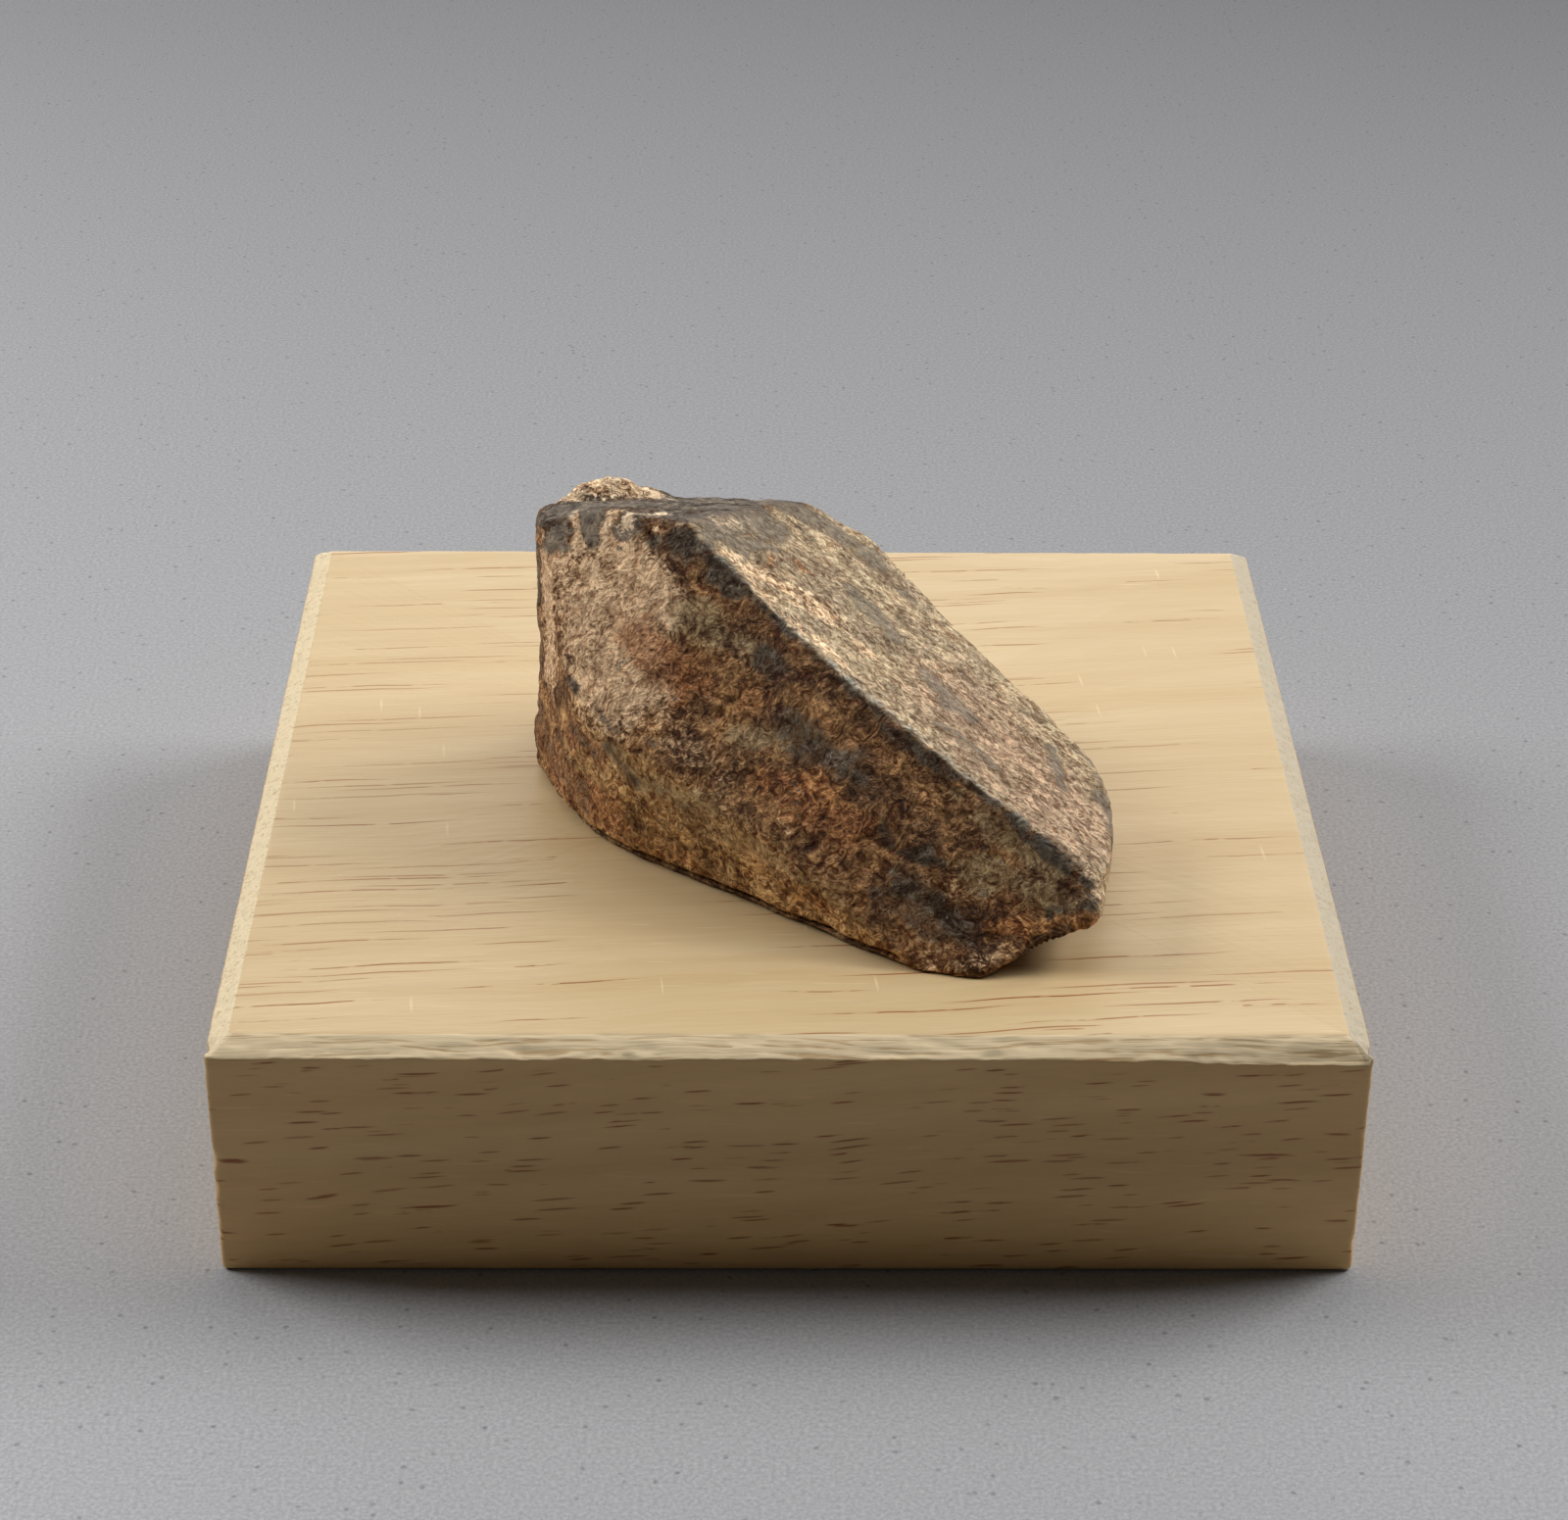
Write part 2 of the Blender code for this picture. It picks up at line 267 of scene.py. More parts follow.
def noise(places, width, seed):
    """Gradient noise, from about -1 to 1, with lumps of a width in millimetres, or of three widths
    along X, Y and Z. Each corner of a place's cell pulls along its own direction, and the eight
    pulls are blended by 6t^5 - 15t^4 + 10t^3."""
    grid = places / width
    cells = np.floor(grid)
    inside = grid - cells
    fade = inside**3 * (inside * (inside * 6 - 15) + 10)
    total = np.zeros(places.shape[:-1])
    for corner in np.ndindex(2, 2, 2):
        corner = np.array(corner)
        pulls = [hashed(cells + corner, seed * 3 + axis) for axis in range(3)]
        away = inside - corner
        pull = sum((pulls[axis] * 2 - 1) * away[..., axis] for axis in range(3))
        total += np.where(corner == 1, fade, 1 - fade).prod(-1) * pull
    return total * 1.7


def noises(places, rows):
    """The sum of height * noise over rows of a height, a width and a seed."""
    return sum(height * noise(places, width, seed) for height, width, seed in rows)


def eased(values, low, high):
    """0 below low, 1 above high, and 3t^2 - 2t^3 between them."""
    share = np.clip((values - low) / (high - low), 0, 1)
    return share * share * (3 - 2 * share)


def unit(vectors):
    """Each vector divided by its length."""
    return vectors / np.linalg.norm(vectors, axis=-1, keepdims=True)


def line_distance(places, start, end):
    """How far each place is from the line between two points."""
    start, way = np.array(start, float), np.subtract(end, start)
    share = np.clip((places - start) @ way / (way @ way), 0, 1)
    return np.linalg.norm(places - start - share[..., None] * way, axis=-1)


def path_distance(places, points):
    """How far each place is from a path of straight lines: the least of the distances to them."""
    return np.min([line_distance(places, *ends) for ends in zip(points, points[1:])], axis=0)


def grid_normals(points):
    """Outward unit normals of a grid that is closed around and ends in a pole at both its first
    and last row: the cross product of the differences to the neighbours on both sides."""
    down = np.empty_like(points)
    down[1:-1] = points[2:] - points[:-2]
    across = np.roll(points, -1, axis=1) - np.roll(points, 1, axis=1)
    normals = np.empty_like(points)
    normals[1:-1] = unit(np.cross(down[1:-1], across[1:-1]))
    normals[0] = unit(normals[1].mean(0))
    normals[-1] = unit(normals[-2].mean(0))
    outward = np.sum(normals * (points - points.mean((0, 1))), axis=-1).mean() > 0
    return normals if outward else -normals


def closed_mesh(name, points, fields):
    """A closed mesh from a grid of points in millimetres whose first and last row are each one
    pole: quads between the rows, and fans of triangles at the poles. The fields become attributes
    of its points. The volume, a sixth of the sum of a . (b x c) over all triangles, tells which
    way the faces turn."""
    rows, around = points.shape[:2]

    def flat(grid):
        """A grid's rows one after another, with each pole only once."""
        return np.concatenate([grid[:1, 0], grid[1:-1].reshape(-1, *grid.shape[2:]), grid[-1:, 0]])

    places = flat(points) * MM
    index = np.arange((rows - 2) * around).reshape(rows - 2, around) + 1
    beside = np.roll(index, -1, axis=1)
    quads = np.stack([index[:-1], index[1:], beside[1:], beside[:-1]], -1).reshape(-1, 4)
    first = np.stack([np.zeros(around, int), index[0], beside[0]], -1)
    last = np.stack([np.full(around, len(places) - 1), beside[-1], index[-1]], -1)
    corners = places[np.concatenate([quads[:, :3], quads[:, [0, 2, 3]], first, last])]
    if np.einsum("ij,ij->", corners[:, 0], np.cross(corners[:, 1], corners[:, 2])) < 0:
        quads, first, last = quads[:, ::-1], first[:, ::-1], last[:, ::-1]
    mesh = bpy.data.meshes.new(name)
    mesh.from_pydata(places.tolist(), [], quads.tolist() + first.tolist() + last.tolist())
    mesh.shade_smooth()
    for field, values in fields.items():
        attribute = mesh.attributes.new(field, "FLOAT", "POINT")
        attribute.data.foreach_set("value", flat(values).astype(np.float32))
    mesh.validate()
    return mesh


def add_piece(mesh, material, node):
    """Puts a finished mesh in the scene, in place of the CAD node that it stands for."""
    mesh.materials.append(material)
    piece = bpy.data.objects.new(mesh.name, mesh)
    bpy.context.scene.collection.objects.link(piece)
    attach(piece, "root")
    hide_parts(node)
    return piece


# The crystal's shape


def crystal_directions(around, along):
    """Unit directions from the crystal's middle, from one end of its long way to the other:
    cos(a) * stretch * long + sin(a) * (cos(b) * side + sin(b) * up), made unit vectors, so that
    the grid stays even on a body that is longer than it is thick."""
    long_way = unit(LONG_WAY)
    side = unit(np.cross(long_way, (0.0, 0.0, 1.0)))
    up = np.cross(side, long_way)
    steps = np.pi * np.arange(along + 1)[:, None, None] / along
    turns = 2 * np.pi * np.arange(around)[None, :, None] / around
    ring = np.cos(turns) * side + np.sin(turns) * up
    return unit(np.cos(steps) * STRETCH * long_way + np.sin(steps) * ring)


def facing(compass, lean):
    """The unit vector for a compass direction and a lean above the horizon, in degrees."""
    compass, lean = math.radians(compass), math.radians(lean)
    level = math.cos(lean)
    return (level * math.cos(compass), level * math.sin(compass), math.sin(lean))


def crystal_faces_met(directions):
    """The bare faceted surface, and how much of each kind of surface every point is on. Face i
    lies at distance h_i from the middle, so it limits direction d to r = h_i / (n_i . d). The
    surface is r = (sum of (n_i . d / h_i)^p)^(-1/p), close to the nearest face and rounded a
    little where faces meet: more between the blunt front faces, with a smaller p."""
    normals = np.array([facing(compass, lean) for _, _, compass, lean, _ in CRYSTAL_FACES])
    points = np.array([point for _, point, _, _, _ in CRYSTAL_FACES])
    heights = np.sum((points - CRYSTAL_MIDDLE) * normals, axis=1)
    limits = np.maximum(directions @ normals.T / heights, 1e-3)
    kinds = np.array([kind for *_, kind in CRYSTAL_FACES])
    front = limits[..., kinds == "front"]
    crisp = limits[..., kinds != "front"]
    front = (front**SOFT_EDGE).sum(-1) ** (1 / SOFT_EDGE)
    radius = (front**CRISP_EDGE + (crisp**CRISP_EDGE).sum(-1)) ** (-1 / CRISP_EDGE)
    shares = limits**KIND_EDGE
    shares /= shares.sum(-1, keepdims=True)
    on_kind = {kind: shares[..., kinds == kind].sum(-1) for kind in SURFACE_KINDS}
    return CRYSTAL_MIDDLE + radius[..., None] * directions, on_kind


def scar_heights(places):
    """The sum over the scars of height * (1 - q), where q is the squared distance from the scar's
    middle measured in its half sizes, kept at 1 or below."""
    total = np.zeros(places.shape[:-1])
    for _, middle, half_sizes, height in CRYSTAL_SCARS:
        reach = (((places - middle) / half_sizes) ** 2).sum(-1)
        total += height * np.clip(1 - reach, 0, None)
    return total


def along_ridge(places):
    """Places in a frame turned so that its first axis runs along the ridge, its second across."""
    way = unit(np.subtract(RIDGE[-1], RIDGE[0]))
    across = unit(np.cross((0.0, 0.0, 1.0), way))
    return places @ np.stack([way, across, np.cross(way, across)], 1)


def tint_fields(places, on_kind):
    """How strongly each tint covers each point, 0 to 1: the greatest over its strokes of
    strength * (1 - (distance / half width)^2), with the places first pushed about by noise so
    that no patch has a plain outline."""
    push = [noise(places, 2.4, 60 + axis) * 0.8 + noise(places, 0.9, 70 + axis) * 0.3
            for axis in range(3)]
    pushed = places + np.stack(push, -1)
    fields = {tint: np.zeros(places.shape[:-1]) for tint in STROKES}
    for tint, strokes in STROKES.items():
        for start, end, width, strength in strokes:
            distance = line_distance(pushed, start, np.array(end) + 1e-6)
            value = strength * np.clip(1 - (distance / width) ** 2, 0, 1)
            fields[tint] = np.maximum(fields[tint], value)
    # Dark oxide just below the ridge, and a bluish white line just above it, which is a painted
    # highlight along the sharp edge
    ridge = path_distance(places, RIDGE)
    edge_chips = 0.7 + 0.6 * noise(places, 1.8, 80)
    below = eased(ridge, 1.3, 0.25) * on_kind["front"] * edge_chips
    above = eased(ridge, 0.65, 0.1) * on_kind["side"] * (0.55 + 0.9 * noise(places, 1.0, 81))
    fields["dark"] = np.maximum(fields["dark"], np.clip(below, 0, 1))
    fields["rim"] = np.clip(above, 0, 1)
    fields["skin"] = np.maximum(fields["skin"], 0.30 * on_kind["top"])
    return fields


# Noises that add up to the crystal's swells, to its grains and to its pits: each one's height (in
# millimetres for the swells), its width in millimetres and its seed.
SWELLS = ((0.20, 9.0, 1), (0.16, 3.4, 2), (0.06, 1.7, 3))
GRAINS = ((1.0, 0.75, 5), (0.7, 0.48, 6))
PITS = ((1.0, 1.0, 7), (0.4, 2.6, 8))

# How high each pattern stands on each kind of surface, in millimetres, and other heights there.
RELIEF_HEIGHTS = {
    "front": {"grains": 0.085, "pits": 0.16},
    "side": {"grains": 0.05, "ribs": 0.045, "pits": 0.08},
    "top": {"grains": 0.06, "steps": 0.20},
    "foot": {"grains": 0.07, "fibres": 0.11, "pits": 0.08},
    "back": {"grains": 0.07, "fibres": 0.06, "pits": 0.10},
}
LEDGE_HEIGHT = 0.55
CRUST_HEIGHT = 0.10
SKIN_THICKNESS = 0.07
RIDGE_CHIP_DEPTH = 0.16
CREASE_DEPTH = 0.10
FOOT_UNDERCUT = 0.9


def crystal_relief(places, on_kind, fields):
    """How far the surface stands out from its flat faces, in millimetres: slow swells, the scars,
    lumps, and what RELIEF_HEIGHTS gives each kind of surface. The foot draws in above the wood.
    Skin that is still in place stands a little proud and is smoother."""
    skin = eased(fields["skin"] + 0.25 * noise(places, 1.1, 30), 0.42, 0.58)
    smooth = np.maximum(skin, 0.7 * eased(fields["olive"], 0.3, 0.7))
    grains = noises(places, GRAINS)
    ledges = places[..., 2] / LEDGE_HEIGHT + 0.6 * noise(places, (6.0, 2.5, 2.5), 10)
    patterns = {
        "grains": grains,
        "pits": -eased(noises(places, PITS), 0.38, 0.75),
        "ribs": noise(along_ridge(places), (4.5, 0.8, 0.8), 9),
        "steps": eased(ledges % 1.0, 0.0, 0.35) - (ledges % 1.0),
        "fibres": noise(along_ridge(places), (3.2, 0.7, 0.7), 11),
    }
    rough = sum(
        on_kind[kind] * sum(height * patterns[pattern] for pattern, height in heights.items())
        for kind, heights in RELIEF_HEIGHTS.items()
    )
    crust = eased(fields["pale"], 0.3, 0.8) * grains
    near_ridge = eased(path_distance(places, RIDGE), 1.1, 0.1)
    chips = near_ridge * eased(noise(places, 1.5, 12), 0.05, 0.5)
    in_crease = eased(path_distance(places, CREASE), 0.6, 0.0)
    low_foot = eased(places[..., 2], 20.0, 18.9) * on_kind["foot"]
    return (
        scar_heights(places)
        + noises(places, SWELLS)
        + (1 - 0.75 * smooth) * rough
        + SKIN_THICKNESS * skin
        + CRUST_HEIGHT * crust
        - RIDGE_CHIP_DEPTH * chips
        - CREASE_DEPTH * in_crease
        - FOOT_UNDERCUT * low_foot
    )


def crystal_mesh(settings):
    """The crystal: the faceted surface moved along its normals by the relief, and kept between
    the block's top and the height of the CAD crystal."""
    directions = crystal_directions(settings.around, settings.along)
    bare, on_kind = crystal_faces_met(directions)
    fields = tint_fields(bare, on_kind)
    heights = crystal_relief(bare, on_kind, fields)
    points = bare + grid_normals(bare) * (heights * settings.relief)[..., None]
    lowest = (BLOCK_HIGH.z + settings.resting_gap) / MM
    points[..., 2] = np.clip(points[..., 2], lowest, CRYSTAL_HIGH.z / MM - 0.01)
    points[0], points[-1] = points[0, 0], points[-1, 0]
    fields.update(on_kind)
    return closed_mesh("weathered_crystal", points, fields)


# The block's shape


def block_ring(sides):
    """One turn round a square with rounded corners, counterclockwise from the left front corner:
    the place on the inner square, from -1 to 1, and the way that it is pushed out from there."""
    steps = np.linspace(-1, 1, sides, endpoint=False)
    quarter = np.pi / 2 * (np.arange(4) + 0.5) / 4
    cores, ways = [], []
    for turn in range(4):
        c, s = round(math.cos(turn * math.pi / 2)), round(math.sin(turn * math.pi / 2))
        spin = np.array(((c, s), (-s, c)))
        straight = np.stack([steps, np.full(sides, -1.0)], 1)
        out = np.tile((0.0, -1.0), (sides, 1))
        corner = np.tile((1.0, -1.0), (len(quarter), 1))
        round_way = np.stack([np.sin(quarter), -np.cos(quarter)], 1)
        cores += [straight @ spin, corner @ spin]
        ways += [out @ spin, round_way @ spin]
    return np.concatenate(cores), np.concatenate(ways)


def block_profile(block):
    """From the middle of the underside out, up the wall, over the chamfer and in to the middle of
    the top: how far in from the side, how high, and which way is out (level, up)."""
    half = block.side / 2 / MM
    top = block.height / MM
    wall = top - block.chamfer_down / MM
    across = block.chamfer_across / MM
    foot = block.foot_inset / MM
    rows = [(half, 0.0, 0, -1), (half / 2, 0.0, 0, -1), (foot + 0.6, 0.0, 0, -1)]
    for step in range(5):
        angle = math.pi / 2 * step / 4
        radius = block.foot_round / MM
        place = (foot + radius * (1 - math.sin(angle)), radius * (1 - math.cos(angle)))
        rows.append((*place, math.sin(angle), -math.cos(angle)))
    for share in np.linspace(0.06, 0.975, 26):
        rows.append((foot * (1 - share), wall * share, 1, 0))
    rows += [(0.0, wall - 0.16, 1, 0), (0.0, wall - 0.06, 1, 0.1), (0.05, wall + 0.01, 0.8, 0.6)]
    for share in np.linspace(0.1, 0.94, 11):
        rows.append((across * share, wall + (top - wall) * share, 0.5, 0.86))
    rows += [(across + 0.02, top - 0.02, 0.25, 0.97), (across + 0.16, top, 0, 1)]
    for inset in (0.4, 1.2, 3.0, 8.0, 18.0, 28.0):
        rows.append((across + inset, top, 0, 1))
    rows.append((half, top, 0, 1))
    return np.array(rows, float)


# Noises that add up to the torn wood of the chamfers and to the wander of their lower edge: each
# one's height, its width or its widths along X, Y and Z, all in millimetres, and its seed.
TORN_ENDS = ((0.07, 0.45, 20), (0.05, 1.1, 21))
TORN_ALONG = ((0.04, (9.0, 0.4, 0.4), 22), (0.03, (9.0, 0.8, 0.8), 23))
EDGE_WANDER = ((0.11, (4.0, 4.0, 1.0), 27), (0.07, (0.9, 0.9, 1.0), 28))

# How far wood is worn off everywhere, in splinters on the chamfers and at the upright edges, and
# how far the chamfers' lower edge drops everywhere and at the front's hand-cut end.
WORN_SURFACE = 0.025
SPLINTER_DEPTH = 0.05
UPRIGHT_WEAR = 0.10
EDGE_DROP = 0.08
HAND_CUT_DROP = 0.42

# Places on the block's outline where wood has broken out: the place, its reach and its depth.
BLOCK_NICKS = (
    ((-40.0, -40.0, 9.1), 0.9, 0.30),
    ((-40.0, -40.0, 7.0), 0.6, 0.35),
    ((-40.0, -40.0, 6.1), 0.4, 0.25),
    ((-40.0, -40.0, 3.2), 0.5, 0.15),
    ((40.0, -40.0, 11.5), 0.5, 0.15),
    ((40.0, -40.0, 2.2), 0.7, 0.25),
    ((-40.0, -38.6, 17.9), 0.8, 0.25),
    ((39.8, -38.8, 17.6), 0.9, 0.25),
    ((-11.0, -40.0, 17.8), 0.6, 0.12),
    ((14.0, -40.0, 17.75), 0.9, 0.14),
    ((27.5, -40.0, 17.7), 0.7, 0.12),
)

# Marks of their own on the block's front wall: the middle, the half sizes and the strength.
WALL_MARKS = (
    ((-38.1, -40.0, 9.5), (1.3, 2.0, 0.26), 1.0),
    ((33.4, -40.0, 10.1), (2.2, 2.0, 0.15), 0.9),
    ((34.7, -40.0, 8.0), (1.5, 2.0, 0.13), 0.7),
    ((-5.3, -40.0, 7.9), (1.7, 2.0, 0.14), 0.8),
)


def block_mesh(block):
    """The block: each row of the profile carried round the ring, half - inset out from the middle,
    then worn inwards. The chamfers are torn along the grain at the front and back and granular at
    the sides, their lower edge wanders, and it drops where the right front end was cut by hand."""
    core, way = block_ring(block.steps)
    profile = block_profile(block)
    half = block.side / 2 / MM
    out = np.maximum(half - profile[:, 0], 0.0)[:, None, None]
    radius = np.minimum(block.corner_radius / MM, out)
    flat = core * (out - radius) + way * radius
    heights = np.broadcast_to(profile[:, 1, None], flat.shape[:2]).copy()
    level, up = profile[:, 2, None], profile[:, 3, None]
    points = np.concatenate([flat, heights[..., None]], -1)
    normals = np.concatenate(
        [way * level[..., None], np.broadcast_to(up, heights.shape)[..., None]], -1
    )
    wall_top = (block.height - block.chamfer_down) / MM
    on_chamfer = eased(heights, wall_top - 0.1, wall_top + 0.1) * (1 - eased(up, 0.9, 1.0))
    end_side = np.broadcast_to(np.abs(way[:, 0]) > 0.7, heights.shape)
    torn = np.where(end_side, noises(points, TORN_ENDS), noises(points, TORN_ALONG))
    worn = on_chamfer * (np.abs(torn) + 0.5 * torn)
    worn += WORN_SURFACE * np.abs(noise(points, (6, 1, 1), 24))
    splinters = eased(noise(points, (3.0, 1.0, 1.0), 25), 0.1, 0.6)
    worn += SPLINTER_DEPTH * on_chamfer * splinters
    upright_edge = eased(np.abs(points[..., :2]).min(-1), half - 0.9, half - 0.1) * (level > 0.9)
    worn += UPRIGHT_WEAR * upright_edge * np.abs(noise(points, 0.9, 26))
    for place, reach, depth in BLOCK_NICKS:
        away = np.linalg.norm(points - place, axis=-1)
        worn += depth * np.clip(1 - (away / reach) ** 2, 0, None)
    points -= unit(normals + 1e-9) * worn[..., None]
    edge = eased(heights, wall_top - 0.9, wall_top) * (1 - eased(heights, wall_top, wall_top + 0.8))
    front = np.broadcast_to(way[:, 1] < -0.7, heights.shape)
    hand_cut = front * eased(points[..., 0], 18.0, 39.0)
    wander = noises(points * (1, 1, 0), EDGE_WANDER)
    points[..., 2] -= edge * (HAND_CUT_DROP * hand_cut + EDGE_DROP + wander)
    points[..., 2] = np.clip(points[..., 2], 0.0, BLOCK_HIGH.z / MM)
    points[0], points[-1] = (0.0, 0.0, 0.0), (0.0, 0.0, block.height / MM)
    walls = np.broadcast_to(level > 0.9, heights.shape)
    right_side = np.broadcast_to(way[:, 0] > 0.7, heights.shape)
    fields = {"cut": on_chamfer, "end_grain": end_side * 1.0, "right_end": right_side * 1.0,
              "wall": walls * 1.0}
    return closed_mesh("wooden_block", points, fields)


# Materials


def set_inputs(node, inputs):
    """Sets a node's live inputs, each found by its name or by its place in the order that the node
    shows them in: to a value, or by a link from a socket or another node's first live output."""
    live = [socket for socket in node.inputs if socket.enabled]
    names = [socket.name for socket in live]
    for name, value in inputs.items():
        socket = live[name if isinstance(name, int) else names.index(name)]
        if isinstance(value, bpy.types.Node):
            value = next(output for output in value.outputs if output.enabled)
        if isinstance(value, bpy.types.NodeSocket):
            node.id_data.links.new(value, socket)
        else:
            socket.default_value = value


def add_node(tree, kind, *inputs, named=None, stops=None, **settings):
    """Adds a shader node with its properties, a ramp's stops as (place, colour), and its inputs:
    the first ones in order, and the others by name."""
    node = tree.nodes.new("ShaderNode" + kind)
    for name, value in settings.items():
        setattr(node, name, value)
    if stops:
        ramp = node.color_ramp.elements
        while len(ramp) < len(stops):
            ramp.new(0.5)
        for element, (place, colour) in zip(ramp, stops):
            element.position = place
            element.color = rgba(colour)
    set_inputs(node, {**dict(enumerate(inputs)), **(named or {})})
    return node


def new_material(name):
    """A new material, the function that adds nodes to its tree, and its Principled BSDF."""
    material = bpy.data.materials.new(name)
    material.use_nodes = True
    tree = material.node_tree
    return material, partial(add_node, tree), tree.nodes["Principled BSDF"]


def per_metre(width):
    """A texture's scale for a pattern of this width in millimetres, on coordinates in metres."""
    return 1 / (width * MM)


def weathered_crystal_material(colours):
    """Bismutotantalite, broken from the rock and weathered: the heavy dark oxide shows as a grey
    skin with a low sheen where it survives, and as a brown, rust and tan etched surface with
    grains of 0.5 to 0.6 mm elsewhere, quite matt."""
    material, add, shader = new_material("weathered_bismutotantalite")
    place = add("TexCoord").outputs["Object"]
    fields = {
        name: add("Attribute", attribute_name=name).outputs["Fac"]
        for name in (*STROKES, "rim", *SURFACE_KINDS)
    }

    # Coordinates turned along the ridge, for the streaks of the pale side
    ridge_way = Vector(RIDGE[-1]) - Vector(RIDGE[0])
    fall = math.atan2(-ridge_way.z, math.hypot(ridge_way.x, ridge_way.y))
    compass = math.atan2(ridge_way.y, ridge_way.x)
    turned = add(
        "Mapping", place, named={"Scale": (1.6, 1.0, 1.0), "Rotation": (0.0, fall, compass)},
        vector_type="TEXTURE",
    )
    # Each cloud: its width in millimetres, detail, roughness, distortion and coordinates
    clouds = {}
    for name, width, detail, rough, distortion, vector in (
        ("grains", 0.62, 2.5, 0.6, 1.8, place), ("streaks", 0.52, 3.0, 0.62, 1.8, turned),
        ("patchy", 1.6, 4.0, 0.65, 0.6, place), ("long patches", 1.3, 4.0, 0.66, 0.8, turned),
        ("blotches", 3.4, 4.0, 0.6, 0.4, place), ("strands", 1.05, 2.0, 0.55, 2.4, place),
        ("clumps", 1.45, 3.0, 0.6, 2.0, place),
    ):
        clouds[name] = add(
            "TexNoise", vector, per_metre(width), detail, rough, named={"Distortion": distortion}
        )

    # The ground colour of each kind of surface, cloudy between a lighter and a darker tone
    layers = []
    for kind in SURFACE_KINDS:
        darker, lighter = getattr(colours, kind + "_dark"), getattr(colours, kind + "_light")
        cloud = add("ValToRGB", clouds["blotches"], stops=((0.38, darker), (0.60, lighter)))
        layers.append((fields[kind], cloud))

    # Each tint covers the ground where its field and two noises together pass a half. The coarse
    # noise tears its outline and the fine one breaks it up into grains. Each row below: the tint,
    # the weights of the coarse and the fine noise, the softness of its outline and its opacity.
    torn = add("Mix", fields["side"], clouds["patchy"], clouds["long patches"])
    fine = add("Mix", fields["side"], clouds["grains"], clouds["streaks"])
    # The skin is worn thin on the pale side
    skin_cover = add("MapRange", fields["side"], 0.0, 1.0, 0.85, 0.62)
    skin_colour = add(
        "ValToRGB", clouds["clumps"], stops=((0.38, colours.skin_dark), (0.58, colours.skin))
    )
    covers = {}
    for tint, by_torn, by_fine, softness, opacity in (
        ("buff", 1.0, 0.8, 0.45, 0.8), ("tan", 1.2, 1.2, 0.30, 0.85), ("rust", 1.2, 1.8, 0.35, 0.7),
        ("orange", 1.2, 1.6, 0.35, 0.75), ("olive", 1.2, 1.0, 0.35, 0.8),
        ("dark", 1.6, 0.9, 0.30, 0.9), ("skin", 2.3, 1.3, 0.12, skin_cover),
        ("pale", 1.0, 1.6, 0.25, 0.95),
    ):
        ragged = add("Math", torn, by_torn, fields[tint], operation="MULTIPLY_ADD")
        ragged = add("Math", fine, by_fine, ragged, operation="MULTIPLY_ADD")
        middle = 0.5 + (by_torn + by_fine) / 2
        covers[tint] = add(
            "MapRange", ragged, middle - softness, middle + softness, 0.0, opacity,
            interpolation_type="SMOOTHSTEP",
        )
        flat_colour = rgba(getattr(colours, tint))
        layers.append((covers[tint], skin_colour if tint == "skin" else flat_colour))
    # The bluish white line along the ridge is a painted highlight
    layers.append((fields["rim"], rgba(colours.rim)))
    surface = layers[0][1]
    for cover, layer in layers[1:]:
        surface = add("Mix", cover, surface, layer, data_type="RGBA")

    # Grains: pores nearly black-brown, bodies of the ground's colour, lighter crowns. They
    # are fainter on the smooth patches, and the hollows between them on the pale side and the tan.
    smooth = add("Math", covers["olive"], 0.55, covers["skin"], operation="MULTIPLY_ADD")
    calm = add("MapRange", smooth, 0.0, 1.0, 1.0, 0.4)
    paleness = add("Math", fields["side"], covers["tan"], operation="MAXIMUM")
    gentle = add("MapRange", paleness, 0.0, 1.0, 1.0, 0.55)
    gentle = add("Math", gentle, calm, operation="MULTIPLY")
    even = add("MapRange", covers["tan"], 0.0, 1.0, 1.0, 0.6)
    even = add("Math", even, calm, operation="MULTIPLY")
    for cloud, share, stops in (
        (fine, even, ((0.36, (0.42, 0.30, 0.21)), (0.44, (0.72, 0.64, 0.57)),
                      (0.51, (0.98, 0.97, 0.95)), (0.64, (1.55, 1.53, 1.48)))),
        (clouds["clumps"], gentle, ((0.37, (0.38, 0.23, 0.14)), (0.45, (0.78, 0.68, 0.60)),
                                    (0.51, (1.0, 1.0, 1.0)), (0.62, (1.35, 1.34, 1.30)))),
        (torn, even, ((0.38, (0.62, 0.57, 0.52)), (0.46, (0.95, 0.94, 0.92)),
                      (0.52, (1.0, 1.0, 1.0)), (0.62, (1.34, 1.32, 1.28)))),
    ):
        tones = add("ValToRGB", cloud, stops=stops)
        surface = add("Mix", share, surface, tones, data_type="RGBA", blend_type="MULTIPLY")

    # Curly threads of about 0.15 mm between the grains: pale ones, which are painted glints, and
    # red-brown ones beside them.
    # Each row: the cloud's level that the thread follows, its reach, strength, colour and blend.
    for middle, reach, strength, colour, blend in (
        (0.50, 0.022, 0.42, rgba(colours.glint), "SCREEN"),
        (0.57, 0.020, 0.60, (0.42, 0.26, 0.16, 1.0), "MULTIPLY"),
    ):
        away = add("Math", clouds["strands"], middle, operation="SUBTRACT")
        away = add("Math", away, operation="ABSOLUTE")
        thread = add("MapRange", away, reach, reach / 4, 0.0, strength)
        thread = add("Math", thread, calm, operation="MULTIPLY")
        surface = add("Mix", thread, surface, colour, data_type="RGBA", blend_type=blend)
